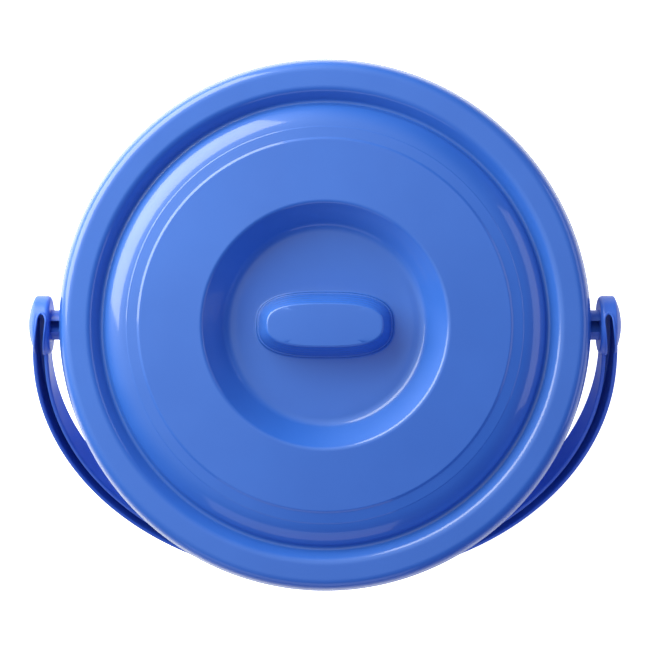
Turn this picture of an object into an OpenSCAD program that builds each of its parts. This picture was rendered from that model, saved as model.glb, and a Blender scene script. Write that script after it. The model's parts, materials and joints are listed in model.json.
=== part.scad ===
// Round plastic wash bucket with a lift-off lid and a swinging bail handle.
// Millimetres. Origin at the middle of the foot, +Z up, the bail's pivots along X.

/* [Bucket] */
// Height of the bucket's own rim above the floor
bucket_h = 247.5; // [220:0.5:300]
// Outer radius of the wall just under the rim
top_r = 136.4; // [110:0.1:165]
// How much narrower the wall is where it meets the foot
wall_draft = 16.1; // [12:0.1:22]
// Thickness of the wall
wall_t = 2.2; // [1.8:0.1:2.8]
// Thickness of the floor
floor_t = 2.6; // [2:0.1:4]
// Height of the foot ring under the floor
foot_h = 6; // [4:0.5:9]
// Thickness of the foot ring
foot_t = 3.2; // [2.5:0.1:5]
// Radius of the bend between wall and floor, inside
floor_bend = 10; // [5:1:16]
// Drop from the rim to the stacking step in the wall
step_drop = 58; // [50:1:70]
// How far the wall steps outwards there
step_out = 1.8; // [1:0.1:2.5]
// How far the rim's flange stands out from the wall
flange_out = 7.2; // [6:0.1:7.6]
// Height of the lip that hangs from the flange
lip_h = 6.5; // [4:0.5:8]
// Number of ribs under the floor
rib_n = 8; // [4:1:12]
// Length of those ribs
rib_l = 24; // [10:1:40]
// Thickness of those ribs
rib_t = 1.8; // [1.2:0.1:3]

/* [Ears] */
// Drop from the rim to the pivots
pivot_drop = 21.5; // [20.5:0.5:50]
// Width of each ear
ear_w = 30; // [24:1:36]
// Height of each ear above the pivots
ear_rise = 11.5; // [9.5:0.1:12]
// Thickness of the ear's plate round the pin
ear_plate = 3.2; // [2.5:0.1:4]
// Thickness of the ear's side and top walls
ear_side = 2.6; // [2:0.1:3]

/* [Lid] */
// How far the lid reaches out past the top of the wall
lid_over = 13.6; // [13:0.1:18]
// Thickness of the lid
lid_t = 2; // [1.6:0.1:2.4]
// Gap between the lid and the rim it rests on
seat_gap = 0.3; // [0.2:0.05:0.6]
// Depth of the skirt below the lid's rim
skirt_h = 11; // [8:0.1:11.2]
// How far the skirt flares out on its way down
skirt_flare = 3; // [2:0.1:4]
// Radius of the round outer shoulder of the rim
rim_round = 6.4; // [5:0.1:7]
// Width of the lid's rim from its outer to its inner edge
rim_w = 18; // [17:0.1:19]
// Radius of the round inner edge of the rim
rim_in_round = 5; // [3:0.5:6]
// Distance from the rim's inner edge in to the middle of the groove
groove_in = 6.5; // [6:0.1:8]
// Depth of the corner that the groove's round bottom fills
groove_depth = 8.3; // [6:0.1:12]
// Radius of the groove's round bottom
groove_round = 1.8; // [1:0.1:2.5]
// Distance from the groove in to the crease where the shoulder begins
shoulder_in = 14.3; // [13:0.1:20]
// Distance from that crease in to the edge of the raised plateau
plateau_in = 7.5; // [5:0.1:20]
// Height of the plateau's edge above the rim
plateau_rise = 4.2; // [2:0.1:6]
// Height of the fine step at the plateau's edge
step_fall = 0.7; // [0.4:0.05:0.9]
// Height of the finer step at the crease
crease_fall = 0.25; // [0.15:0.05:0.5]
// Radius of the edge of the dish in the middle
dish_r = 68.8; // [62:0.1:80]
// Height of the dish's edge above the rim
dish_rise = 6; // [3:0.1:8]
// Width of the dish's sloping wall
dish_wall = 12.8; // [10:0.1:18]
// Depth of the dish's floor below the rim
dish_depth = 10; // [6:0.5:14]

/* [Knob] */
// Length of the knob at its foot
knob_l = 77; // [60:1:88]
// Width of the knob at its foot
knob_w = 37; // [30:1:44]
// How much shorter and narrower the knob is at its top
knob_draft = 12; // [6:0.5:16]
// Height of the knob above the dish's floor
knob_h = 16; // [10:0.5:20]
// Thickness of the knob's shell
knob_t = 2.2; // [1.6:0.1:3]

/* [Bail handle] */
// Angle of the bail below level where its grip meets the wall
rest_tilt = 38.5; // [38:0.5:50]
// Room between the bail's bosses and the lid
boss_room = 5.7; // [5:0.1:12]
// How far the legs' outer faces stand out from the bosses' inner faces
leg_out = 11.8; // [10:0.1:14]
// Length of the legs from the pivots to the arch
leg_l = 28.5; // [20:0.5:40]
// Radius of the slight inward bend of the legs
leg_round = 260; // [200:10:500]
// Gap between the resting grip and the wall
wall_gap = 0.2; // [0.1:0.1:2]
// Radius of the two bends beside the straight middle
bend_r = 50; // [30:1:60]
// Width of the strap
strap_w = 18; // [14:0.5:22]
// Thickness of the strap
strap_t = 9; // [8:0.5:10]
// Thickness of the strap's two flanges
flange_t = 2.4; // [2:0.1:3]
// Thickness of the web between them
web_t = 2.5; // [2:0.1:4]
// Radius of the round bosses at the pivots
boss_r = 16.7; // [14:0.1:18]
// Width of each boss's rim along the pivots
boss_rim = 8.65; // [7:0.05:10]
// Height of the dome on each boss
dome_h = 4.2; // [2:0.2:6]
// How far the stub between boss and ear stands out round the pin
stub_out = 2.5; // [1:0.1:3]
// Radius of the pivot pin
pin_r = 6; // [5:0.1:6.4]
// Clearance round the pivot pin
pin_gap = 0.07; // [0.02:0.01:0.1]
// How far the barb stands out round the pin's end
barb_out = 1.2; // [0.8:0.1:1.5]
// Length of the barb
barb_l = 2.6; // [2:0.1:3]

/* [Grip] */
// Length of the hand grip
grip_l = 100; // [80:1:108]
// Thickness of the grip's wall beside the strap's edges
grip_edge = 3; // [2:0.1:5]
// Thickness of the grip's wall over the strap's faces
grip_face = 4; // [2.5:0.1:6]
// Width of the collar at each end of the grip
collar_l = 5; // [3:0.5:8]
// How far the collars stand out
collar_out = 1; // [0.5:0.1:1.5]

/* [Hidden] */
eps = 0.01;
round_steps = 8;

// Points of an arc about c from angle a0 to a1
function arc(c, r, a0, a1, n) =
    [for (i = [0:n]) c + r * [cos(a0 + (a1 - a0) * i / n), sin(a0 + (a1 - a0) * i / n)]];
// The same list of points from its end to its start
function reversed(p) = [for (i = [len(p) - 1:-1:0]) p[i]];
// The list of points without its first one
function rest_of(p) = [for (i = [1:len(p) - 1]) p[i]];
// The list of points on the other side of the middle plane
function mirrored(p) = [for (q = p) [-q[0], q[1]]];
// One corner b between a and c, rounded with radius r in n steps
function round_corner(a, b, c, r, n) =
    let (
        u = (a - b) / norm(a - b),
        v = (c - b) / norm(c - b),
        half = acos(u * v) / 2,
        mid = b + (u + v) / norm(u + v) * r / sin(half),
        from_a = b + u * r / tan(half) - mid,
        from_c = b + v * r / tan(half) - mid,
        a0 = atan2(from_a[1], from_a[0]),
        turn = atan2(from_c[1], from_c[0]) - a0,
        sweep = turn > 180 ? turn - 360 : turn < -180 ? turn + 360 : turn
    )
    arc(mid, r, a0, a0 + sweep, n);
// An outline of corners [r, z, rounding], with every rounded corner as an arc
function rounded(p, n) =
    [for (i = [0:len(p) - 1])
        let (b = [p[i][0], p[i][1]])
        if (p[i][2] == 0) b
        else each round_corner([p[i - 1][0], p[i - 1][1]], b, [p[i + 1][0], p[i + 1][1]], p[i][2], n)];
// The outline moved sideways by d, so that a skin of that thickness lies between the two
function beside(p, d) =
    [for (i = [0:len(p) - 1])
        let (t = p[min(i + 1, len(p) - 1)] - p[max(i - 1, 0)])
        i == 0 ? p[0] - [0, d] : p[i] + d * [t[1], -t[0]] / norm(t)];

base_r = top_r - wall_draft;
lid_r = top_r + lid_over;
pivot_z = bucket_h - pivot_drop;
floor_z = foot_h + floor_t;
step_z = bucket_h - step_drop;
step_run = 4;
wall_slope = (top_r - step_out - base_r) / (bucket_h - foot_h);
// Outer radius of the wall at a height
function wall_at(z) = base_r + wall_slope * (z - foot_h) + (z > step_z - step_run / 2 ? step_out : 0);
flange_r = top_r + flange_out;
skirt_room = 0.4;
ear_x = lid_r - lid_t - skirt_room;
bore_r = pin_r + pin_gap;
barb_r = pin_r + barb_out;
plate_x = ear_x - ear_plate;
mouth_round = wall_t * 0.8;

module bucket_shell() {
    mouth_r = top_r - wall_t;
    outside = [
        [0, foot_h, 0],
        [base_r - foot_t, foot_h, 0],
        [base_r - foot_t, 0, 0],
        [base_r, 0, 0],
        [base_r, foot_h, 0],
        [wall_at(step_z - step_run), step_z - step_run, 0],
        [wall_at(step_z), step_z, 0],
        [top_r, bucket_h - wall_t, 0],
        [flange_r - wall_t, bucket_h - wall_t, 0],
        [flange_r - wall_t, bucket_h - lip_h, 0],
        [flange_r, bucket_h - lip_h, 0],
        [flange_r, bucket_h, mouth_round],
        [mouth_r, bucket_h, mouth_round],
        [wall_at(step_z) - wall_t, step_z, 0],
        [wall_at(step_z - step_run) - wall_t, step_z - step_run, 0],
        [wall_at(floor_z) - wall_t, floor_z, floor_bend],
        [0, floor_z, 0]
    ];
    rotate_extrude($fn = 180)
        polygon(rounded(outside, round_steps));
}

module floor_ribs() {
    rib_h = foot_h / 2;
    for (i = [0:rib_n - 1])
        rotate([0, 0, (i + 0.5) * 360 / rib_n])
            translate([base_r - foot_t - rib_l, -rib_t / 2, foot_h - rib_h])
                cube([rib_l + foot_t / 2, rib_t, rib_h + eps]);
}

module ear() {
    root_x = wall_at(pivot_z - ear_w / 2) - wall_t / 2;
    pocket_w = ear_w - 2 * ear_side;
    difference() {
        union() {
            intersection() {
                translate([root_x, 0, pivot_z])
                    rotate([0, 90, 0])
                        cylinder(d = ear_w, h = ear_x - root_x, $fn = 64);
                translate([root_x, -ear_w / 2, pivot_z - ear_w / 2])
                    cube([ear_x - root_x, ear_w, ear_w / 2 + eps]);
            }
            translate([root_x, -ear_w / 2, pivot_z])
                cube([ear_x - root_x, ear_w, ear_rise]);
        }
        translate([root_x - eps, -pocket_w / 2, pivot_z - ear_w])
            cube([plate_x - root_x + eps, pocket_w, ear_w + ear_rise - ear_side]);
        translate([plate_x - eps, 0, pivot_z])
            rotate([0, 90, 0])
                cylinder(r = bore_r, h = ear_plate + 2 * eps, $fn = 64);
    }
}

module inside_of_wall() {
    low = pivot_z - ear_w;
    rotate_extrude($fn = 180)
        polygon([
            [0, low],
            [wall_at(low) - wall_t / 2, low],
            [wall_at(bucket_h) - wall_t / 2, bucket_h],
            [0, bucket_h]
        ]);
}

module bucket_body() {
    color("#4a80dc") {
        bucket_shell();
        floor_ribs();
        for (side = [0, 1])
            mirror([side, 0, 0])
                difference() {
                    ear();
                    inside_of_wall();
                }
    }
}

lid_z = bucket_h + seat_gap + lid_t;
dish_floor_round = 7;
dish_round = 3;
step_tilt = 28;
band_tilt = 10;
floor_sag = 0.6;
shoulder_tilt = 14;
shoulder_turn = 31;
shoulder_round = 23.2;
shoulder_run = 7.24;
rim_in_r = lid_r - rim_w;
groove_r = rim_in_r - groove_in;
shoulder_r = groove_r - shoulder_in;
plateau_r = shoulder_r - plateau_in;
dish_floor_r = dish_r - dish_wall;
knob_top_l = knob_l - knob_draft;
knob_top_w = knob_w - knob_draft;
fall_run = 2.3;
fall_r = groove_r - fall_run;
fall_round = 1;

module lid_shell() {
    step_w = step_fall / tan(step_tilt);
    crease_w = crease_fall / tan(step_tilt);
    band_z = plateau_rise - step_fall;
    crease_z = band_z - (shoulder_r - plateau_r - step_w - crease_w) * tan(band_tilt);
    high = [shoulder_r + shoulder_run, crease_z - crease_fall - shoulder_run * tan(shoulder_tilt)];
    top = [
        [0, -dish_depth - floor_sag, 0],
        [dish_floor_r, -dish_depth, dish_floor_round],
        [dish_r, dish_rise, dish_round],
        [plateau_r, plateau_rise, 0],
        [plateau_r + step_w, band_z, 0],
        [shoulder_r - crease_w, crease_z, 0],
        [shoulder_r, crease_z - crease_fall, 0],
        [high[0], high[1], shoulder_round],
        [fall_r, high[1] - (fall_r - high[0]) * tan(shoulder_tilt + shoulder_turn), fall_round],
        [groove_r, -groove_depth, groove_round],
        [rim_in_r, 0, rim_in_round],
        [lid_r - skirt_flare, 0, rim_round],
        [lid_r, -skirt_h, 0]
    ];
    outline = rounded(top, round_steps);
    translate([0, 0, lid_z])
        rotate_extrude($fn = 180)
            polygon(concat(outline, reversed(beside(outline, lid_t))));
}

// An oval with full sides, l long and w wide, as points
function oval(l, w, n) =
    [for (i = [0:n - 1])
        let (a = 360 * i / n, c = cos(a), s = sin(a))
        [l / 2 * sign(c) * pow(abs(c), knob_full), w / 2 * sign(s) * pow(abs(s), knob_full)]];
knob_full = 0.72;
knob_points = 48;
knob_edge = 2.4;
knob_edge_low = 0.7;

// One thin slice of the knob at height z
module knob_slice(l, w, z) {
    translate([0, 0, z])
        linear_extrude(eps)
            polygon(oval(l, w, knob_points));
}

// The knob's shape, smaller by t all round and lower by t
module knob_shape(t) {
    foot = -dish_depth - floor_sag - 2 * eps - (t > 0 ? lid_t : 0);
    top = knob_h - dish_depth - t;
    hull() {
        knob_slice(knob_l - 2 * t, knob_w - 2 * t, foot);
        knob_slice(knob_top_l + knob_edge - 2 * t, knob_top_w + knob_edge - 2 * t, top - knob_edge);
        knob_slice(knob_top_l - 2 * t, knob_top_w - 2 * t, top - knob_edge_low);
        knob_slice(knob_top_l - knob_edge - 2 * t, knob_top_w - knob_edge - 2 * t, top);
    }
}

module lid() {
    color("#5288e0")
        difference() {
            union() {
                lid_shell();
                translate([0, 0, lid_z])
                    knob_shape(0);
            }
            translate([0, 0, lid_z])
                knob_shape(knob_t);
        }
}

// The bail handle and grip are drawn flat, with the pivots on X and the grip towards +Y
boss_in = lid_r + boss_room;
arch_r = boss_in + leg_out;
boss_out = boss_in + boss_rim;
boss_round = 2;
arch_steps = 24;
dome_steps = 10;
boss_steps = 4;
bend_steps = 10;
groove_w = strap_t - 2 * flange_t;
stub_r = pin_r + stub_out;
grip_w = strap_w + 2 * grip_edge;
grip_t = strap_t + 2 * grip_face;
grip_full = 0.8;
grip_power = 2 / (2 - grip_full);
grip_lean = pow(
    pow(grip_t / 2 * cos(rest_tilt), grip_power) + pow(grip_w / 2 * sin(rest_tilt), grip_power),
    1 / grip_power
);
rest_run = base_r + wall_slope * (pivot_z - foot_h) + grip_lean + wall_gap;
reach = rest_run / (cos(rest_tilt) + wall_slope * sin(rest_tilt)) + strap_t / 2;
bend_c = [
    sqrt(pow(arch_r - bend_r, 2) - pow(reach - bend_r - leg_l, 2)),
    reach - bend_r
];
bend_a = atan2(bend_c[1] - leg_l, bend_c[0]);
leg_c = [arch_r - leg_round, leg_l];
leg_steps = 6;
strap_start = -asin(leg_l / leg_round);
slot_back = boss_r - flange_t;
slot_line = leg_round - strap_t / 2;
slot_start = -asin((leg_l + slot_back - groove_w / 2) / slot_line);

// Half of the bail's line, moved inwards by d from its outer face, from angle start of the leg's bend
function bail_line(d, start) =
    concat(
        arc(leg_c, leg_round - d, start, 0, leg_steps),
        rest_of(arc([0, leg_l], arch_r - d, 0, bend_a, arch_steps)),
        rest_of(arc(bend_c, bend_r - d, bend_a, 90, bend_steps))
    );
// The closed outline of a band of the bail between depths d0 and d1
function bail_band(d0, d1, start) =
    concat(
        bail_line(d0, start),
        reversed(mirrored(bail_line(d0, start))),
        mirrored(bail_line(d1, start)),
        reversed(bail_line(d1, start))
    );

module at_rest() {
    translate([0, 0, pivot_z])
        rotate([rest_tilt, 0, 0])
            rotate([0, 0, 180])
                children();
}

module bail_strap() {
    translate([0, 0, -strap_w / 2])
        linear_extrude(strap_w)
            polygon(bail_band(0, strap_t, strap_start));
}

// The channel along the whole strap, with its round ends cut into the bosses
module channel() {
    end = leg_c + slot_line * [cos(slot_start), sin(slot_start)];
    depth = strap_w + boss_r;
    translate([0, 0, -strap_w / 2 + web_t]) {
        linear_extrude(depth)
            polygon(bail_band(flange_t, strap_t - flange_t, slot_start));
        for (side = [0, 1])
            mirror([side, 0, 0])
                translate([end[0], end[1], 0])
                    cylinder(d = groove_w, h = depth, $fn = 32);
    }
}

// Round rod along X from x0 to x1
module rod(r, x0, x1) {
    translate([x0, 0, 0])
        rotate([0, 90, 0])
            cylinder(r = r, h = x1 - x0, $fn = 64);
}

module boss() {
    dome_r = (boss_r * boss_r + dome_h * dome_h) / (2 * dome_h);
    dome_a = asin(boss_r / dome_r);
    dome = arc([0, boss_out + dome_h - dome_r], dome_r, 90 - dome_a, 90, dome_steps);
    edge = rounded([[0, boss_in, 0], [boss_r, boss_in, boss_round], [boss_r, boss_out, 0]], boss_steps);
    rotate([0, 90, 0])
        rotate_extrude($fn = 96)
            polygon(concat([for (i = [0:len(edge) - 2]) edge[i]], dome));
}

stub_wall = 1.6;
module pivot_stub() {
    shoulder = ear_x + seat_gap;
    barb_x = plate_x - seat_gap - barb_l;
    core_in = stub_wall;
    core_w = stub_r - 2 * core_in;
    difference() {
        rod(stub_r, shoulder, boss_in + boss_round);
        translate([shoulder + core_in, -core_in - core_w, -core_w])
            cube([boss_in - shoulder - core_in, core_w, 2 * stub_r]);
        translate([shoulder + core_in, core_in, -2 * stub_r + core_w])
            cube([boss_in - shoulder - core_in, core_w, 2 * stub_r]);
    }
    rod(pin_r, barb_x + eps, shoulder + eps);
    translate([barb_x, 0, 0])
        rotate([0, 90, 0])
            cylinder(r1 = pin_r, r2 = barb_r, h = barb_l, $fn = 64);
}

module bail_handle() {
    color("#3f66cc")
        at_rest() {
            difference() {
                union() {
                    bail_strap();
                    for (side = [0, 1])
                        mirror([side, 0, 0])
                            boss();
                }
                channel();
            }
            for (side = [0, 1])
                mirror([side, 0, 0])
                    pivot_stub();
        }
}

grip_points = 64;

// The grip's round section, out mm larger all round
module grip_part(l, out) {
    a = grip_t / 2 + out;
    b = grip_w / 2 + out;
    translate([-l / 2, reach - strap_t / 2, 0])
        rotate([90, 0, 90])
            linear_extrude(l)
                polygon([for (i = [0:grip_points - 1])
                    let (c = cos(i * 360 / grip_points), s = sin(i * 360 / grip_points))
                    [a * sign(c) * pow(abs(c), grip_full), b * sign(s) * pow(abs(s), grip_full)]]);
}

module hand_grip() {
    color("#3a5cc0")
        at_rest()
            difference() {
                union() {
                    grip_part(grip_l, 0);
                    for (side = [0, 1])
                        mirror([side, 0, 0])
                            translate([(grip_l - collar_l) / 2, 0, 0])
                                grip_part(collar_l, collar_out);
                }
                translate([-grip_l, reach - strap_t, -strap_w / 2])
                    cube([2 * grip_l, strap_t, strap_w]);
            }
}

bucket_body();
lid();
bail_handle();
hand_grip();
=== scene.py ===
import json
import math
import bpy
import bmesh
import numpy as np
from mathutils import Matrix, Vector


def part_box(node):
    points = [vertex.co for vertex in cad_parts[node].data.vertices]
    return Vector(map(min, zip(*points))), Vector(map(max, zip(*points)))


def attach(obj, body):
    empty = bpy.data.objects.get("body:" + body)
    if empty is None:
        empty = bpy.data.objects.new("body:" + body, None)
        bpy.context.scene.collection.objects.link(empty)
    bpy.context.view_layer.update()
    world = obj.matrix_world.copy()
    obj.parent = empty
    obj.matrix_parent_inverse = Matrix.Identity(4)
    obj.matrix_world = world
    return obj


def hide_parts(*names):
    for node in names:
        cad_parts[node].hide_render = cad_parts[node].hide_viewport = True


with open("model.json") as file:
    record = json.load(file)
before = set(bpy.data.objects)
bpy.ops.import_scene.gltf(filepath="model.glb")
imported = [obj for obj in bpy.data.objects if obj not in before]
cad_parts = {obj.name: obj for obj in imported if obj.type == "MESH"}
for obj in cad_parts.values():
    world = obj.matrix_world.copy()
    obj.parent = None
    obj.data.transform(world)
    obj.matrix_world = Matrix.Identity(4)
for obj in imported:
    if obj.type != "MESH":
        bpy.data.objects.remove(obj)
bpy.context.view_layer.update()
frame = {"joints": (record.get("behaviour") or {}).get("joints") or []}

mm = 0.001


def hexToLinear(code):
    # sRGB hex to the linear colour that a shader socket wants
    out = []
    for i in (1, 3, 5):
        c = int(code[i:i + 2], 16) / 255
        out.append(c / 12.92 if c <= 0.04045 else ((c + 0.055) / 1.055) ** 2.4)
    return (*out, 1.0)


def arcPoints(centre, radius, a0, a1, steps):
    return [(centre[0] + radius * math.cos(a0 + (a1 - a0) * i / steps),
             centre[1] + radius * math.sin(a0 + (a1 - a0) * i / steps)) for i in range(steps + 1)]


def roundedLine(corners, degPerStep=7.0):
    # corners are (x, y, rounding radius); each rounded corner becomes a fine arc
    out = []
    for i, (x, y, r) in enumerate(corners):
        b = Vector((x, y))
        if r == 0:
            out.append((x, y))
            continue
        u = (Vector(corners[i - 1][:2]) - b).normalized()
        v = (Vector(corners[(i + 1) % len(corners)][:2]) - b).normalized()
        half = u.angle(v) / 2
        mid = b + (u + v).normalized() * r / math.sin(half)
        p0 = b + u * r / math.tan(half) - mid
        p1 = b + v * r / math.tan(half) - mid
        a0 = math.atan2(p0.y, p0.x)
        turn = (math.atan2(p1.y, p1.x) - a0 + math.pi) % (2 * math.pi) - math.pi
        steps = max(2, math.ceil(abs(math.degrees(turn)) / degPerStep))
        out += arcPoints(mid, r, a0, a0 + turn, steps)
    return out


def holdFlats(points, gap):
    # extra points close to the ends of every long straight, so that its shading stays flat
    out = [points[0]]
    for a, b in zip(points, points[1:]):
        run = math.hypot(b[0] - a[0], b[1] - a[1])
        if run > 4 * gap:
            for share in (gap / run, 1 - gap / run):
                out.append((a[0] + (b[0] - a[0]) * share, a[1] + (b[1] - a[1]) * share))
        out.append(b)
    return out


def besideLine(points, d):
    # the line moved sideways by d, to the side where a skin's other face lies
    out = []
    for i, p in enumerate(points):
        a, b = points[max(i - 1, 0)], points[min(i + 1, len(points) - 1)]
        t = Vector((b[0] - a[0], b[1] - a[1])).normalized()
        out.append((p[0] + d * t.y, p[1] - d * t.x))
    return out


def circleRing(r, z, count):
    a = np.arange(count) * 2 * math.pi / count
    return np.stack([r * np.cos(a), r * np.sin(a), np.full(count, z)], 1)


def skinRings(name, rings, closed=False, capped=False):
    # quads between rings of equal length; a ring of one point is a pole. Points are in millimetres
    verts, faces, starts = [], [], []
    for ring in rings:
        starts.append((len(verts), len(ring)))
        verts += [tuple(p) for p in np.asarray(ring) * mm]
    pairs = list(zip(starts, starts[1:])) + ([(starts[-1], starts[0])] if closed else [])
    for (a, na), (b, nb) in pairs:
        n = max(na, nb)
        for i in range(n):
            j = (i + 1) % n
            if na == 1:
                faces.append((a, b + j, b + i))
            elif nb == 1:
                faces.append((a + i, a + j, b))
            else:
                faces.append((a + i, a + j, b + j, b + i))
    if capped:
        faces.append(tuple(reversed(range(len(rings[0])))))
        faces.append(tuple(range(starts[-1][0], len(verts))))
    mesh = bpy.data.meshes.new(name)
    mesh.from_pydata(verts, [], faces)
    piece = bpy.data.objects.new(name, mesh)
    bpy.context.scene.collection.objects.link(piece)
    fixNormals(piece)
    return piece


def fixNormals(piece):
    bm = bmesh.new()
    bm.from_mesh(piece.data)
    bmesh.ops.recalc_face_normals(bm, faces=bm.faces)
    bm.to_mesh(piece.data)
    bm.free()


def lathe(name, profile, count):
    # revolves (r, z) points about Z; r = 0 gives a pole
    rings = [[(0, 0, z)] if r < 1e-6 else circleRing(r, z, count) for r, z in profile]
    return skinRings(name, rings, closed=profile[0][0] > 1e-6 and profile[-1][0] > 1e-6)


def prism(name, outline, z0, z1):
    # a closed outline of (x, y) points pulled up from z0 to z1
    return skinRings(name, [[(x, y, z) for x, y in outline] for z in (z0, z1)], capped=True)


def placed(piece, matrix):
    # moves the mesh itself, so that the object stays at the origin
    piece.data.transform(matrix)
    if matrix.determinant() < 0:
        piece.data.flip_normals()
    return piece


def mirroredCopy(piece):
    # the same piece on the other side of the middle plane
    other = bpy.data.objects.new(piece.name + "_left", piece.data.copy())
    bpy.context.scene.collection.objects.link(other)
    return placed(other, Matrix.Diagonal((-1, 1, 1, 1)))


def applyModifiers(piece):
    graph = bpy.context.evaluated_depsgraph_get()
    mesh = bpy.data.meshes.new_from_object(piece.evaluated_get(graph))
    old = piece.data
    piece.modifiers.clear()
    piece.data = mesh
    bpy.data.meshes.remove(old)
    return piece


def combine(piece, other, operation):
    # exact boolean; the other piece is used up
    cut = piece.modifiers.new("cut", "BOOLEAN")
    cut.operation, cut.solver, cut.object = operation, "EXACT", other
    applyModifiers(piece)
    bpy.data.objects.remove(other)
    return piece


def joinPieces(name, parts):
    bm = bmesh.new()
    for part in parts:
        bm.from_mesh(part.data)
        bpy.data.objects.remove(part)
    mesh = bpy.data.meshes.new(name)
    bm.to_mesh(mesh)
    bm.free()
    piece = bpy.data.objects.new(name, mesh)
    bpy.context.scene.collection.objects.link(piece)
    return piece


def smoothShade(piece, angle=None):
    mesh = piece.data
    mesh.polygons.foreach_set("use_smooth", [True] * len(mesh.polygons))
    if angle is not None:
        mesh.set_sharp_from_angle(angle=math.radians(angle))
    mesh.update()
    return piece


def finishPiece(piece, body, node, material):
    piece.data.materials.clear()
    piece.data.materials.append(material)
    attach(piece, body)
    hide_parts(node)
    return piece


def addNode(tree, kind, settings=None, links=None):
    # one node with its settings; links maps an input's name to another node's output
    node = tree.nodes.new(kind)
    for key, value in (settings or {}).items():
        if hasattr(node, key):
            setattr(node, key, value)
        else:
            node.inputs[key].default_value = value
    for key, source in (links or {}).items():
        tree.links.new(source, node.inputs[key])
    return node


def mouldedPolypropylene(name, look):
    # glossy injection-moulded polypropylene: a sharp polished shine over a soft milky haze and a
    # saturated body colour, with the faint unevenness of the pigment and of the mould's polish
    material = bpy.data.materials.new(name)
    material.use_nodes = True
    tree = material.node_tree
    tree.nodes.clear()
    place = addNode(tree, "ShaderNodeTexCoord")
    cloud = addNode(tree, "ShaderNodeTexNoise",
                    {"Scale": 1 / (look["cloudMm"] * mm), "Detail": 3.0, "Roughness": 0.55},
                    {"Vector": place.outputs["Object"]})
    tint = addNode(tree, "ShaderNodeMapRange", {"From Min": 0.3, "From Max": 0.7},
                   {"Value": cloud.outputs["Fac"]})
    colour = addNode(tree, "ShaderNodeMix", {"data_type": "RGBA"})
    colour.inputs[6].default_value = hexToLinear(look["colour"])
    colour.inputs[7].default_value = hexToLinear(look["colourDeep"])
    tree.links.new(tint.outputs["Result"], colour.inputs[0])
    polish = addNode(tree, "ShaderNodeTexNoise", {"Scale": 1 / (look["polishMm"] * mm), "Detail": 2.0},
                     {"Vector": place.outputs["Object"]})
    haze = addNode(tree, "ShaderNodeMapRange",
                   {"From Min": 0.3, "From Max": 0.7,
                    "To Min": look["haze"] * 0.9, "To Max": look["haze"] * 1.1},
                   {"Value": polish.outputs["Fac"]})
    peel = addNode(tree, "ShaderNodeTexNoise", {"Scale": 1 / (look["peelMm"] * mm), "Detail": 1.0},
                   {"Vector": place.outputs["Object"]})
    bump = addNode(tree, "ShaderNodeBump",
                   {"Strength": look["peelStrength"], "Distance": look["peelDepthMm"] * mm},
                   {"Height": peel.outputs["Fac"]})
    shader = addNode(tree, "ShaderNodeBsdfPrincipled",
                     {"IOR": look["ior"], "Coat IOR": look["ior"],
                      "Coat Weight": look["polish"], "Coat Roughness": look["polishRoughness"]},
                     {"Base Color": colour.outputs[2], "Roughness": haze.outputs["Result"],
                      "Normal": bump.outputs["Normal"], "Coat Normal": bump.outputs["Normal"]})
    addNode(tree, "ShaderNodeOutputMaterial", None, {"Surface": shader.outputs["BSDF"]})
    return material


lidPlastic = {
    "colour": "#2F68C8",      # body colour of the pigmented plastic
    "colourDeep": "#2B63C2",  # the same, where the pigment is a little denser
    "cloudMm": 60,            # size of the pigment's clouds
    "haze": 0.48,             # roughness of the milky gloss under the polish
    "polish": 0.8,            # strength of the sharp shine
    "polishRoughness": 0.09,
    "polishMm": 25,           # size of the patches of the mould's polish
    "peelMm": 4,              # width of the skin's unevenness, drawn coarser than the real one to show
    "peelDepthMm": 0.02,
    "peelStrength": 0.05,
    "ior": 1.49,
}
lidLook = {
    "sides": 256,
    "rimHeight": 249.8,       # top of the rim above the floor the bucket stands on
    "radius": 150, "thickness": 2.0, "skirt": 11.0, "skirtFlare": 3.0, "rimRound": 6.4,
    "rimInner": 132.0, "rimInnerRound": 5.0,
    "grooveRadius": 125.5, "grooveCorner": 8.3, "grooveRound": 1.8,
    "shoulderRadius": 111.2, "shoulderTilt": 14, "shoulderTurn": 31,
    "shoulderRun": 7.24, "shoulderRound": 23.2,
    "stepFall": 0.7, "creaseFall": 0.25,    # fine steps at the plateau's edge and at the crease
    "stepTilt": 28, "stepRound": 1.5, "creaseRound": 0.3, "bandTilt": 10,
    "plateauRadius": 103.7, "plateauRise": 4.2,
    "dishRadius": 68.8, "dishRise": 6.0, "dishRound": 3.0,
    "floorRadius": 56.0, "floorDepth": 10.0, "floorRound": 7.0, "floorSag": 0.6,
    "floorFlat": 50.0, "floorEase": 0.05,   # from here in the floor sags; its fall out to here
    "fallRun": 2.3, "fallRound": 1.0,       # from the shoulder's foot to the middle of the groove
    "lipInset": 0.05, "lipRise": 1.0,       # the skirt's round edge, inside the lid's full size
    "underRound": 8,                        # the underside doesn't follow the fine steps
}
knobLook = {
    "length": 77, "width": 37, "topLength": 66, "topWidth": 25.5, "height": 16.0,
    "full": 2.8,        # 2 is an ellipse, more is squarer
    "edge": 1.6,        # rounding of the top edge
    "sideTilt": 26,     # slope at which that rounding runs into the side
    "plinth": 1.3,      # height of the low step round the foot
    "ledge": 0.9,       # width of that step
    "fillet": 1.0,      # rounding between the plinth and the dish's floor
    "steps": 4,         # fine steps up the long sides
    "stepShare": 0.8,   # how far those steps stand out from the plain slope
    "wall": 2.2,
    "crown": 0.25,      # how much the middle of the top stands above its edge
}


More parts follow.
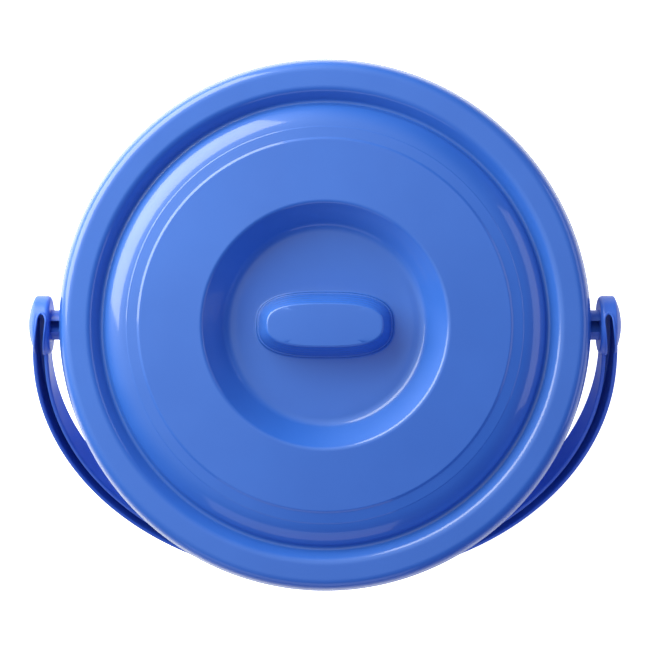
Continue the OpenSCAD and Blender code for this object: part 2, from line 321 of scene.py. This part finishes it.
def ovalRing(halfLength, halfWidth, z, count, full, longSide=None):
    # a full-sided oval, its points at even angles; longSide moves its long sides in by that many mm,
    # fading out towards the short ones
    a = np.arange(count) * 2 * math.pi / count
    c, s = np.cos(a), np.sin(a)
    r = (np.abs(c / halfLength) ** full + np.abs(s / halfWidth) ** full) ** (-1 / full)
    x, y = r * c, r * s
    if longSide is not None:
        weight = np.clip((np.abs(y) / halfWidth - 0.55) / 0.35, 0, 1)
        y = y - np.sign(y) * longSide * weight
    return np.stack([x, y, np.full(count, z)], 1)


def lidShellLines():
    # outer face from the dish's floor out to the skirt, the skirt's round lip, and the inner face
    look = lidLook
    tilt = math.radians(look["shoulderTilt"])
    steep = tilt + math.radians(look["shoulderTurn"])
    stepSlope = math.tan(math.radians(look["stepTilt"]))
    stepWide, creaseWide = look["stepFall"] / stepSlope, look["creaseFall"] / stepSlope
    bandZ = look["plateauRise"] - look["stepFall"]
    bandWide = look["shoulderRadius"] - look["plateauRadius"] - stepWide - creaseWide
    creaseZ = bandZ - bandWide * math.tan(math.radians(look["bandTilt"]))
    shoulderZ = creaseZ - look["creaseFall"]
    brow = (look["shoulderRadius"] + look["shoulderRun"], shoulderZ - look["shoulderRun"] * math.tan(tilt))
    fallR = look["grooveRadius"] - look["fallRun"]
    skirtEnd = (look["radius"] - look["lipInset"], -look["skirt"] + look["lipRise"])
    dish = [
        (look["floorFlat"], -look["floorDepth"] - look["floorEase"], 0),
        (look["floorRadius"], -look["floorDepth"], look["floorRound"]),
        (look["dishRadius"], look["dishRise"], look["dishRound"]),
    ]
    outside = [
        (brow[0], brow[1], look["shoulderRound"]),
        (fallR, brow[1] - (fallR - brow[0]) * math.tan(steep), look["fallRound"]),
        (look["grooveRadius"], -look["grooveCorner"], look["grooveRound"]),
        (look["rimInner"], 0, look["rimInnerRound"]),
        (look["radius"] - look["skirtFlare"], 0, look["rimRound"]),
        (*skirtEnd, 0),
    ]
    steps = [
        (look["plateauRadius"], look["plateauRise"], look["stepRound"]),
        (look["plateauRadius"] + stepWide, bandZ, look["creaseRound"]),
        (look["shoulderRadius"] - creaseWide, creaseZ, look["creaseRound"]),
        (look["shoulderRadius"], shoulderZ, look["creaseRound"]),
    ]
    plain = [(look["plateauRadius"], look["plateauRise"], look["underRound"]),
             (look["shoulderRadius"], shoulderZ, look["underRound"])]
    top = holdFlats(roundedLine(dish + steps + outside, 4), 0.5)
    under = besideLine(holdFlats(roundedLine(dish + plain + outside, 8), 0.8), look["thickness"])
    slope = math.atan2(look["skirt"], look["skirtFlare"])
    inward = Vector((-math.sin(slope), -math.cos(slope)))
    middle = Vector(skirtEnd) + inward * look["thickness"] / 2
    start = math.atan2(-inward.y, -inward.x)
    lip = arcPoints(middle, look["thickness"] / 2, start, start - math.pi, 8)[1:-1]
    return top, lip, under


def knobRings(topZ, floorZ):
    # from the middle of the knob's top down to the dish's floor
    knob, n = knobLook, lidLook["sides"]
    crown, edge, full = knob["crown"], knob["edge"], knob["full"]
    hl, hw = knob["topLength"] / 2, knob["topWidth"] / 2
    bl, bw = knob["length"] / 2, knob["width"] / 2
    rings = [[(0, 0, topZ)]]
    for share in (0.15, 0.35, 0.55, 0.75, 0.9):
        rings.append(ovalRing(hl * share, hw * share, topZ - crown * share ** 2, n, full))
    edgeSteps, sideTilt = 8, math.radians(knob["sideTilt"])
    for i in range(edgeSteps + 1):
        a = math.pi / 2 - (math.pi / 2 - sideTilt) * i / edgeSteps
        rings.append(ovalRing(hl - edge + edge * math.cos(a), hw - edge + edge * math.cos(a),
                              topZ - crown - edge + edge * math.sin(a), n, full))
    startL = hl - edge + edge * math.cos(sideTilt)
    startW = hw - edge + edge * math.cos(sideTilt)
    startZ = topZ - crown - edge + edge * math.sin(sideTilt)
    footL, footW, footZ = bl - knob["ledge"], bw - knob["ledge"], floorZ + knob["plinth"]
    fine = 12 * knob["steps"]
    for i in range(1, fine + 1):    # sides
        s = i / fine
        wave = math.sin(2 * math.pi * knob["steps"] * s) / (2 * math.pi * knob["steps"])
        rings.append(ovalRing(startL + (footL - startL) * s, startW + (footW - startW) * s,
                              startZ + (footZ - startZ) * s, n, full,
                              longSide=knob["stepShare"] * wave * (footW - startW)))
    r = knob["ledge"] * 0.8
    for i in range(1, 6):           # the plinth's rounded ledge
        a = math.radians(90 - i * 16)
        rings.append(ovalRing(bl - r + r * math.cos(a), bw - r + r * math.cos(a),
                              footZ - r + r * math.sin(a), n, full))
    r = knob["fillet"]
    for i in range(6):              # fillet into the floor
        a = math.radians(180 + i * 18)
        rings.append(ovalRing(bl + r + r * math.cos(a), bw + r + r * math.cos(a),
                              floorZ + r + r * math.sin(a), n, full))
    return rings


def knobHollowRings(topZ, underZ):
    # the hollow of the knob, from the underside of the floor up
    knob, n = knobLook, lidLook["sides"]
    wall, full = knob["wall"], knob["full"]
    hl, hw = knob["topLength"] / 2 - wall, knob["topWidth"] / 2 - wall
    bl, bw = knob["length"] / 2 - wall, knob["width"] / 2 - wall
    return [ovalRing(bl + 0.6, bw + 0.6, underZ, n, full), ovalRing(bl, bw, underZ + 0.6, n, full),
            ovalRing(hl + 0.8, hw + 0.8, topZ - wall - 1.2, n, full),
            ovalRing(hl - 0.6, hw - 0.6, topZ - wall, n, full), [(0, 0, topZ - wall)]]


def buildLid():
    look, knob = lidLook, knobLook
    n = look["sides"]
    top, lip, under = lidShellLines()
    floorZ = -look["floorDepth"] - look["floorSag"]
    topZ = knob["height"] - look["floorDepth"]
    underZ = floorZ - look["thickness"]
    # the floor runs from the knob's oval out to the circle where the shell's line starts
    fillet = knob["fillet"]
    oval = ovalRing(knob["length"] / 2 + fillet, knob["width"] / 2 + fillet, floorZ, n, knob["full"])
    circle = circleRing(*top[0], n)
    rings = knobRings(topZ, floorZ)
    for share in (0.12, 0.25, 0.4, 0.55, 0.7, 0.85):
        mix = oval * (1 - share) + circle * share
        mix[:, 2] = floorZ + (top[0][1] - floorZ) * share ** 2
        rings.append(mix)
    rings += [circleRing(r, z, n) for r, z in top + lip + under[::-1]]
    for share in (0.7, 0.4, 0.15):
        mix = oval * (1 - share) + circle * share
        mix[:, 2] = underZ
        rings.append(mix)
    rings += knobHollowRings(topZ, underZ)
    rise = np.array([0, 0, look["rimHeight"]])
    return smoothShade(skinRings("lid_moulding", [np.array(ring, float) + rise for ring in rings]), 50)


lid = buildLid()
finishPiece(lid, "lid", "lid", mouldedPolypropylene("polypropyleneLid", lidPlastic))
print("lid done", len(lid.data.polygons))

bucketLook = {
    "sides": 256,
    "height": 247.5, "topRadius": 136.4, "baseRadius": 120.3, "wall": 2.2, "floor": 2.6,
    "foot": 6.0, "footWall": 3.2, "footRound": 1.2, "footInnerRound": 1.5, "footBend": 6.0,
    "floorBend": 10.0,
    "stepDrop": 58, "stepRun": 4.0, "stepOut": 1.8, "stepRound": 2.5,
    "flangeOut": 7.2, "lip": 6.5, "mouthRound": 1.76,
    "neckRound": 1.2, "flangeRound": 0.8, "lipRound": 0.9,
    "ribs": 8, "ribLength": 24, "ribWidth": 1.8, "ribHeight": 3.0, "ribRound": 2.0,
}
bucketPlastic = dict(lidPlastic, polishRoughness=0.12, cloudMm=90)
earLook = {
    "drop": 21.5,       # from the rim down to the pin's axis
    "width": 30, "rise": 11.5, "side": 2.6, "plate": 3.2,
    "reach": 147.6,     # outer face, from the bucket's axis
    "root": 120,        # where it starts, inside the wall; the part in the bucket is cut off
    "corner": 2.2, "edge": 0.7, "pocketEdge": 0.8,
    "bore": 6.07,
}


def wallRadius(z):
    # outer radius of the tapered wall above its stacking step or below it
    look = bucketLook
    slope = (look["topRadius"] - look["stepOut"] - look["baseRadius"]) / (look["height"] - look["foot"])
    upper = z > look["height"] - look["stepDrop"] - look["stepRun"] / 2
    return look["baseRadius"] + slope * (z - look["foot"]) + (look["stepOut"] if upper else 0)


def bucketProfile():
    look = bucketLook
    wall, top = look["wall"], look["height"]
    flange = look["topRadius"] + look["flangeOut"]
    step = top - look["stepDrop"]
    floorTop = look["foot"] + look["floor"]
    soft, lipRound = look["stepRound"], look["lipRound"]
    corners = [
        (0, look["foot"], 0),
        (look["baseRadius"] - look["footWall"], look["foot"], look["footInnerRound"]),
        (look["baseRadius"] - look["footWall"], 0, look["footRound"]),
        (look["baseRadius"], 0, look["footRound"]),
        (look["baseRadius"], look["foot"], look["footBend"]),
        (wallRadius(step - look["stepRun"]), step - look["stepRun"], soft),
        (wallRadius(step), step, soft),
        (look["topRadius"], top - wall, look["neckRound"]),
        (flange - wall, top - wall, look["flangeRound"]),
        (flange - wall, top - look["lip"], lipRound),
        (flange, top - look["lip"], lipRound),
        (flange, top, look["mouthRound"]),
        (look["topRadius"] - wall, top, look["mouthRound"]),
        (wallRadius(step) - wall, step, soft),
        (wallRadius(step - look["stepRun"]) - wall, step - look["stepRun"], soft),
        (wallRadius(floorTop) - wall, floorTop, look["floorBend"]),
        (0, floorTop, 0),
    ]
    return holdFlats(roundedLine(corners, 9), 0.7)


def softenEdges(piece, width, segments, angle=40):
    bevel = piece.modifiers.new("edge", "BEVEL")
    bevel.width, bevel.segments = width * mm, segments
    bevel.limit_method, bevel.angle_limit = "ANGLE", math.radians(angle)
    return applyModifiers(piece)


def buildEar():
    # a D-shaped housing, open below, whose outer plate holds the pin
    look, bucket = earLook, bucketLook
    pivot = bucket["height"] - look["drop"]
    half, root, reach = look["width"] / 2, look["root"], look["reach"]
    corner = look["corner"]
    below = arcPoints((0, pivot), half, math.pi, 2 * math.pi, 32)
    above = arcPoints((half - corner, pivot + look["rise"] - corner), corner, 0, math.pi / 2, 6)
    above += [(-x, z) for x, z in reversed(above)]
    ear = skinRings("ear", [[(x, y, z) for y, z in below + above] for x in (root, reach)], capped=True)
    softenEdges(ear, look["edge"], 3, 60)
    inner, plate = half - look["side"], reach - look["plate"]
    roof, bottom = pivot + look["rise"] - look["side"], pivot - 2 * half
    back = root - 5
    pocket = prism("pocket", [(back, -inner), (plate, -inner), (plate, inner), (back, inner)], bottom, roof)
    softenEdges(pocket, look["pocketEdge"], 2)
    combine(ear, pocket, "DIFFERENCE")
    deep = 8
    bore = lathe("bore", [(0, -deep), (look["bore"], -deep), (look["bore"], deep), (0, deep)], 64)
    placed(bore, Matrix.Translation((reach * mm, 0, pivot * mm)) @ Matrix.Rotation(math.pi / 2, 4, "Y"))
    combine(ear, bore, "DIFFERENCE")
    buried, top = bucket["wall"] / 2, bucket["height"]
    core = lathe("core", [(0, bottom), (wallRadius(bottom) + bucket["stepOut"] - buried, bottom),
                          (wallRadius(top) - buried, top), (0, top)], bucket["sides"])
    return combine(ear, core, "DIFFERENCE")


def buildBucket():
    look = bucketLook
    bucket = lathe("bucket_moulding", bucketProfile(), look["sides"])
    extras = []
    ribIn = look["baseRadius"] - look["footWall"] - look["ribLength"]
    ribOut = look["baseRadius"] - look["footWall"] / 2
    ribLow = look["foot"] - look["ribHeight"]
    ribTop = look["foot"] + 1   # 1 mm into the floor
    outline = roundedLine([(ribIn, ribTop, 0), (ribIn, ribLow, look["ribRound"]),
                           (ribOut, ribLow, 0), (ribOut, ribTop, 0)], 15)
    for k in range(look["ribs"]):
        rib = skinRings("rib", [[(x, y, z) for x, z in outline]
                                for y in (-look["ribWidth"] / 2, look["ribWidth"] / 2)], capped=True)
        extras.append(placed(rib, Matrix.Rotation(math.radians((k + 0.5) * 360 / look["ribs"]), 4, "Z")))
    ear = buildEar()
    extras += [ear, mirroredCopy(ear)]
    combine(bucket, joinPieces("extras", extras), "UNION")
    return smoothShade(bucket, 32)


bucket = buildBucket()
finishPiece(bucket, "bucket", "bucket_body",
            mouldedPolypropylene("polypropyleneBucket", bucketPlastic))
print("bucket done", len(bucket.data.polygons))


bailLook = {
    "tilt": 38.5,           # rest angle below level
    "reach": 180.518, "arch": 167.5, "leg": 28.5, "legBend": 260, "bend": 50,
    "width": 18, "thick": 9, "flange": 2.4, "web": 2.5,
    "edge": 1.1, "flangeEdge": 1.0, "fillet": 0.8,
    "bossIn": 155.7, "bossRim": 8.65, "bossRadius": 16.7, "bossRound": 2.3, "rimRound": 1.2, "dome": 4.2,
    "bead": 0.75,           # radius of the bead round the slot
    "beadOut": 0.45,        # how far its middle lies outside the slot's edge
    "beadSink": 0.12,       # and how far under the boss's face
    "beadFrom": 14.6,       # where it starts, towards the strap
    "slotFrom": 24, "slotTop": 26,  # the slot's cutter goes past the boss along the strap and outwards
    "stubRadius": 8.5, "stubStart": 147.9, "stubWall": 1.6,
    "pin": 6.0, "barb": 7.2, "barbStart": 141.5, "barbLength": 2.6,
}
bailPlastic = dict(lidPlastic, colour="#3A6EDA", colourDeep="#3567D2", cloudMm=40,
                   polish=0.35, polishRoughness=0.16, ior=1.42)
pivotHeight = next(joint["pos_m"][2] for joint in frame["joints"] if joint["name"] == "bail_swing")
alongX = Matrix.Rotation(math.pi / 2, 4, "Y")


def bailAtRest():
    # the bail is drawn flat with its reach along +Y, then hung from the pivots
    return (Matrix.Translation((0, 0, pivotHeight)) @ Matrix.Rotation(math.radians(bailLook["tilt"]), 4, "X")
            @ Matrix.Rotation(math.pi, 4, "Z"))


def legPoint(depth, angle):
    # a point of the slightly bent leg, at a depth below its outer face
    look = bailLook
    r = look["legBend"] - depth
    return (look["arch"] - look["legBend"] + r * math.cos(angle), look["leg"] + r * math.sin(angle))


def bailStations():
    # points of the strap's outer face with their inward directions, from the right pivot to the left one
    look = bailLook
    bx = math.sqrt((look["arch"] - look["bend"]) ** 2 - (look["reach"] - look["bend"] - look["leg"]) ** 2)
    by = look["reach"] - look["bend"]
    turn = math.atan2(by - look["leg"], bx)
    start = -math.asin(look["leg"] / look["legBend"])
    half = [(legPoint(0, start * share), (-math.cos(start * share), -math.sin(start * share)))
            for share in (1, 0.85, 0.7, 0.55, 0.4, 0.25, 0.1)]
    for i in range(41):
        a = turn * i / 40
        half.append(((look["arch"] * math.cos(a), look["leg"] + look["arch"] * math.sin(a)),
                     (-math.cos(a), -math.sin(a))))
    for i in range(1, 17):
        a = turn + (math.pi / 2 - turn) * i / 16
        half.append(((bx + look["bend"] * math.cos(a), by + look["bend"] * math.sin(a)),
                     (-math.cos(a), -math.sin(a))))
    half.append(((bx - 1.5, look["reach"]), (0, -1)))
    return half + [((-p[0], p[1]), (-d[0], d[1])) for p, d in reversed(half)]


def buildStrap():
    look = bailLook
    low, high = -look["width"] / 2, look["width"] / 2
    thick, flange, web = look["thick"], look["flange"], low + look["web"]
    section = holdFlats(roundedLine([
        (0, low, look["edge"]), (0, high, look["flangeEdge"]), (flange, high, look["flangeEdge"]),
        (flange, web, look["fillet"]), (thick - flange, web, look["fillet"]),
        (thick - flange, high, look["flangeEdge"]), (thick, high, look["flangeEdge"]),
        (thick, low, look["edge"])], 15), 0.5)
    rings = [[(p[0] + d[0] * depth, p[1] + d[1] * depth, z) for depth, z in section]
             for p, d in bailStations()]
    return skinRings("bail_moulding", rings, capped=True)


def domeBall():
    # radius of the ball that the boss's dome is a cap of
    look = bailLook
    return (look["bossRadius"] ** 2 + look["dome"] ** 2) / (2 * look["dome"])


def domeRadius(x):
    # radius of the boss at a place along the pivot axis
    look = bailLook
    rimEnd = look["bossIn"] + look["bossRim"]
    if x <= rimEnd:
        return look["bossRadius"]
    ball = domeBall()
    return math.sqrt(ball ** 2 - (x - rimEnd - look["dome"] + ball) ** 2)


def slotLine(outset, fromY):
    # the slot's outline seen along its depth: up one side, round its end behind the pivot, down the other
    look = bailLook
    mid, half = look["thick"] / 2, look["thick"] / 2 - look["flange"] + outset
    back = look["bossRadius"] - look["flange"] - (look["thick"] / 2 - look["flange"])
    end = -math.asin((look["leg"] + back) / (look["legBend"] - mid))
    begin = -math.asin((look["leg"] - fromY) / (look["legBend"] - mid))
    centre = Vector(legPoint(mid, end))
    out = Vector((math.cos(end), math.sin(end)))
    rear = Vector((math.sin(end), -math.cos(end)))
    line = [Vector(legPoint(mid - half, a)) for a in np.linspace(begin, end, 22)]
    line += [centre + (out * math.cos(t) + rear * math.sin(t)) * half
             for t in np.linspace(0, math.pi, 17)[1:-1]]
    return line + [Vector(legPoint(mid + half, a)) for a in np.linspace(end, begin, 22)]


def buildSlotBead():
    # soft raised lip that follows the slot's edge over the boss
    look = bailLook
    points = [Vector((p.x, p.y, math.sqrt(max(domeRadius(p.x) ** 2 - p.y ** 2, 1)) - look["beadSink"]))
              for p in slotLine(look["beadOut"], look["beadFrom"])]
    rings = []
    for i, p in enumerate(points):
        t = (points[min(i + 1, len(points) - 1)] - points[max(i - 1, 0)]).normalized()
        side = t.cross(Vector((0, 0, 1))).normalized()
        up = side.cross(t)
        rings.append([p + (side * math.cos(a) + up * math.sin(a)) * look["bead"]
                      for a in np.arange(12) * math.pi / 6])
    return skinRings("slotBead", rings, capped=True)


def buildBailEnd():
    look = bailLook
    rimEnd = look["bossIn"] + look["bossRim"]
    tip = rimEnd + look["dome"]
    ball = domeBall()
    widest = math.asin(look["bossRadius"] / ball)
    dome = [(ball * math.sin(a), tip - ball + ball * math.cos(a), 0)
            for a in np.linspace(widest * 0.9, 0, 20)]
    edge = roundedLine([(0, look["bossIn"], 0), (look["bossRadius"], look["bossIn"], look["bossRound"]),
                        (look["bossRadius"], rimEnd, look["rimRound"])] + dome, 10)
    boss = placed(lathe("boss", holdFlats(edge, 0.6), 160), alongX)
    combine(boss, buildSlotBead(), "UNION")
    slot = prism("slot", slotLine(0.01, look["slotFrom"]),
                 -look["width"] / 2 + look["web"] - 0.01, look["slotTop"])
    combine(boss, slot, "DIFFERENCE")

    shoulder, wall = look["stubStart"], look["stubWall"]
    stubLine = roundedLine([
        (0, look["barbStart"], 0), (look["pin"] - 0.6, look["barbStart"], 0.5),
        (look["barb"], look["barbStart"] + look["barbLength"], 0.2),
        (look["pin"], look["barbStart"] + look["barbLength"], 0.15), (look["pin"], shoulder, 0.3),
        (look["stubRadius"], shoulder, 0.4), (look["stubRadius"], look["bossIn"] + 2, 0),
        (0, look["bossIn"] + 2, 0)], 20)
    stub = placed(lathe("stub", holdFlats(stubLine, 0.4), 96), alongX)
    room = look["stubRadius"] - 2 * wall
    for side in (-1, 1):
        near, far = sorted((side * wall, side * (wall + room)))
        down, up = sorted((side * room, -side * 2 * look["stubRadius"]))
        pocket = prism("pocket", [(shoulder + wall, near), (look["bossIn"] + 1, near),
                                  (look["bossIn"] + 1, far), (shoulder + wall, far)], down, up)
        softenEdges(pocket, 0.4, 2)
        combine(stub, pocket, "DIFFERENCE")
    return combine(boss, stub, "UNION")


def buildBail():
    strap = buildStrap()
    end = buildBailEnd()
    combine(strap, joinPieces("ends", [end, mirroredCopy(end)]), "UNION")
    return smoothShade(placed(strap, bailAtRest()), 32)


bail = buildBail()
finishPiece(bail, "bail", "bail_handle",
            mouldedPolypropylene("polypropyleneBail", bailPlastic))
print("bail done", len(bail.data.polygons))


gripLook = {
    "length": 100, "face": 4.0, "side": 3.0, "full": 2.5,
    "endRound": 1.6,
    "collar": 5.0, "collarOut": 1.0, "collarRound": 0.5,
    "flutes": 36, "fluteDepth": 0.35,   # fine lengthwise flutes that keep a wet hand from turning
    "tunnelFull": 14,   # nearly square, with the strap's rounded corners
    "bite": 0.05,       # how far the tunnel lies inside the strap's faces
    "sides": 288,
}
gripPlastic = dict(lidPlastic, colour="#3058C0", colourDeep="#2C53BA", cloudMm=30,
                   polish=0.4, polishRoughness=0.25)


def buildGrip():
    look, bail = gripLook, bailLook
    n = look["sides"]
    a = np.arange(n) * 2 * math.pi / n
    halfT, halfW = bail["thick"] / 2 + look["face"], bail["width"] / 2 + look["side"]
    half, out = look["length"] / 2, look["collarOut"]

    def ovalRadius(t, w, full):
        return (np.abs(np.cos(a) / t) ** full + np.abs(np.sin(a) / w) ** full) ** (-1 / full)

    def outerRing(x, grow, flute):
        r = ovalRadius(halfT + grow, halfW + grow, look["full"])
        r = r - flute * look["fluteDepth"] * (0.5 - 0.5 * np.cos(a * look["flutes"]))
        return np.stack([np.full(n, x), r * np.cos(a), r * np.sin(a)], 1)

    def innerRing(x):
        # the tunnel's rounded corners follow the strap's, a hair inside its faces
        r = ovalRadius(bail["thick"] / 2 - look["bite"], bail["width"] / 2 - look["bite"], look["tunnelFull"])
        return np.stack([np.full(n, x), r * np.cos(a), r * np.sin(a)], 1)

    line = roundedLine([
        (0, 0, 0), (half - look["collar"], 0, 0.6), (half - look["collar"], out, look["collarRound"]),
        (half, out, look["endRound"]), (half, -2.5, 0)], 12)
    line = holdFlats(line, 0.5)
    # the flutes fade out over 4 mm, from 3 mm short of the collar
    fluteEnd, fade = half - look["collar"] - 3, 4
    rightHalf = [(x, grow, min(max((fluteEnd - x) / fade, 0), 1)) for x, grow in line[1:]]
    for x in (fluteEnd, fluteEnd - 2, fluteEnd - fade):
        rightHalf.insert(0, (x, 0, min(max((fluteEnd - x) / fade, 0), 1)))
    rightHalf = sorted(rightHalf[:5], key=lambda p: p[0]) + rightHalf[5:]
    rings = [outerRing(-x, grow, flute) for x, grow, flute in reversed(rightHalf)]
    rings += [outerRing(x, grow, flute) for x, grow, flute in rightHalf]
    tunnelEnd = half - 0.3
    rings += [innerRing(tunnelEnd), innerRing(0), innerRing(-tunnelEnd)]
    sleeve = skinRings("grip_sleeve", rings, closed=True)
    centre = bail["reach"] - bail["thick"] / 2
    return smoothShade(placed(sleeve, bailAtRest() @ Matrix.Translation((0, centre * mm, 0))), 40)


grip = buildGrip()
finishPiece(grip, "bail", "hand_grip",
            mouldedPolypropylene("polypropyleneGrip", gripPlastic))
print("grip done", len(grip.data.polygons))


studio = {
    "cameraAbovePivot": 1250,       # mm
    "lidShare": 533.4 / 650,        # how much of the view's width the lid takes
    "widestLine": 5.4,              # mm, from the lid's lowest point up to where it looks widest
    # softboxes: compass turn and tilt from straight up in degrees, sizes and distance in metres
    "key": {"turn": 141, "tilt": 67, "distance": 0.85, "wide": 1.12, "tall": 0.64,
            "power": 15.5, "tint": "#FFFCEA"},
    "right": {"turn": 5, "tilt": 70, "distance": 1.3, "wide": 1.3, "tall": 0.5,
              "power": 3.6, "tint": "#E6ECFF"},
    "front": {"turn": -97, "tilt": 70, "distance": 1.3, "wide": 1.2, "tall": 0.6,
              "power": 2.6, "tint": "#E6ECFF"},
    "airLow": 0.27, "airHigh": 0.95,        # glow of the room away from the key's side, and towards it
    "airShade": "#7488FF", "airKey": "#FAFFEA",     # its tint on the same two sides
    "glowTurn": 141, "glowTilt": 38, "glowInner": 12, "glowOuter": 75,
    "floorColour": "#F4F4F4", "floorGlow": 0.15,
    "backdrop": 1.1,                        # how bright the seamless white backdrop looks to the camera
}


def aimLight(name, look, target):
    # an area light that faces the target from a compass turn and a tilt from straight up, in degrees
    data = bpy.data.lights.new(name, "AREA")
    data.shape, data.size, data.size_y, data.energy = "RECTANGLE", look["wide"], look["tall"], look["power"]
    data.color = hexToLinear(look["tint"])[:3]
    light = bpy.data.objects.new(name, data)
    light.visible_camera = False
    a, t = math.radians(look["turn"]), math.radians(look["tilt"])
    back = Vector((math.sin(t) * math.cos(a), math.sin(t) * math.sin(a), math.cos(t)))
    light.location = target + back * look["distance"]
    light.rotation_euler = back.to_track_quat("Z", "Y").to_euler()
    bpy.context.scene.collection.objects.link(light)
    return light


def buildAir():
    # the room's even light, a little brighter on the key's side
    world = bpy.data.worlds.new("studioAir")
    bpy.context.scene.world = world
    world.use_nodes = True
    tree = world.node_tree
    tree.nodes.clear()
    a, t = math.radians(studio["glowTurn"]), math.radians(studio["glowTilt"])
    glow = (math.sin(t) * math.cos(a), math.sin(t) * math.sin(a), math.cos(t))
    place = addNode(tree, "ShaderNodeTexCoord")
    facing = addNode(tree, "ShaderNodeVectorMath", {"operation": "DOT_PRODUCT"},
                     {0: place.outputs["Generated"]})
    facing.inputs[1].default_value = glow
    strength = addNode(tree, "ShaderNodeMapRange",
                       {"interpolation_type": "SMOOTHSTEP",
                        "From Min": math.cos(math.radians(studio["glowOuter"])),
                        "From Max": math.cos(math.radians(studio["glowInner"])),
                        "To Min": studio["airLow"], "To Max": studio["airHigh"]},
                       {"Value": facing.outputs["Value"]})
    share = addNode(tree, "ShaderNodeMapRange",
                    {"From Min": studio["airLow"], "From Max": studio["airHigh"]},
                    {"Value": strength.outputs["Result"]})
    tint = addNode(tree, "ShaderNodeMix", {"data_type": "RGBA"})
    tint.inputs[6].default_value = hexToLinear(studio["airShade"])
    tint.inputs[7].default_value = hexToLinear(studio["airKey"])
    tree.links.new(share.outputs["Result"], tint.inputs[0])
    air = addNode(tree, "ShaderNodeBackground", None,
                  {"Color": tint.outputs[2], "Strength": strength.outputs["Result"]})
    white = addNode(tree, "ShaderNodeBackground", {"Color": (1, 1, 1, 1), "Strength": studio["backdrop"]})
    seen = addNode(tree, "ShaderNodeLightPath")
    both = addNode(tree, "ShaderNodeMixShader", None, {0: seen.outputs["Is Camera Ray"]})
    tree.links.new(air.outputs["Background"], both.inputs[1])
    tree.links.new(white.outputs["Background"], both.inputs[2])
    addNode(tree, "ShaderNodeOutputWorld", None, {"Surface": both.outputs["Shader"]})


def buildStudio():
    lowLid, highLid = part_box("lid")
    centre = Vector((0, 0, highLid.z))
    camData = bpy.data.cameras.new("camera")
    camera = bpy.data.objects.new("camera", camData)
    height = pivotHeight + studio["cameraAbovePivot"] * mm
    camera.location = (0, 0, height)
    bpy.context.scene.collection.objects.link(camera)
    bpy.context.scene.camera = camera
    depth = height - (lowLid.z + studio["widestLine"] * mm)
    camData.sensor_width = 36
    camData.lens = camData.sensor_width * studio["lidShare"] * depth / (2 * lidLook["radius"] * mm)
    camData.clip_end = 20

    for name in ("key", "right", "front"):
        aimLight(name + "Softbox", studio[name], centre)
    buildAir()

    floorMesh = bpy.data.meshes.new("floor")
    wide = 9
    floorMesh.from_pydata([(-wide, -wide, 0), (wide, -wide, 0), (wide, wide, 0), (-wide, wide, 0)],
                          [], [(0, 1, 2, 3)])
    floor = bpy.data.objects.new("floor", floorMesh)
    bpy.context.scene.collection.objects.link(floor)
    # lit paper: plain white to the camera, as a blown-out product backdrop is, and pale to the bucket
    paper = bpy.data.materials.new("whitePaper")
    paper.use_nodes = True
    tree = paper.node_tree
    shader = tree.nodes["Principled BSDF"]
    shader.inputs["Base Color"].default_value = hexToLinear(studio["floorColour"])
    shader.inputs["Roughness"].default_value = 0.9
    shader.inputs["Emission Color"].default_value = (1, 1, 1, 1)
    seen = addNode(tree, "ShaderNodeLightPath")
    glow = addNode(tree, "ShaderNodeMapRange", {"To Min": studio["floorGlow"], "To Max": studio["backdrop"]},
                   {"Value": seen.outputs["Is Camera Ray"]})
    tree.links.new(glow.outputs["Result"], shader.inputs["Emission Strength"])
    floorMesh.materials.append(paper)
    bpy.context.scene.view_settings.view_transform = "Standard"


buildStudio()
print("studio done")
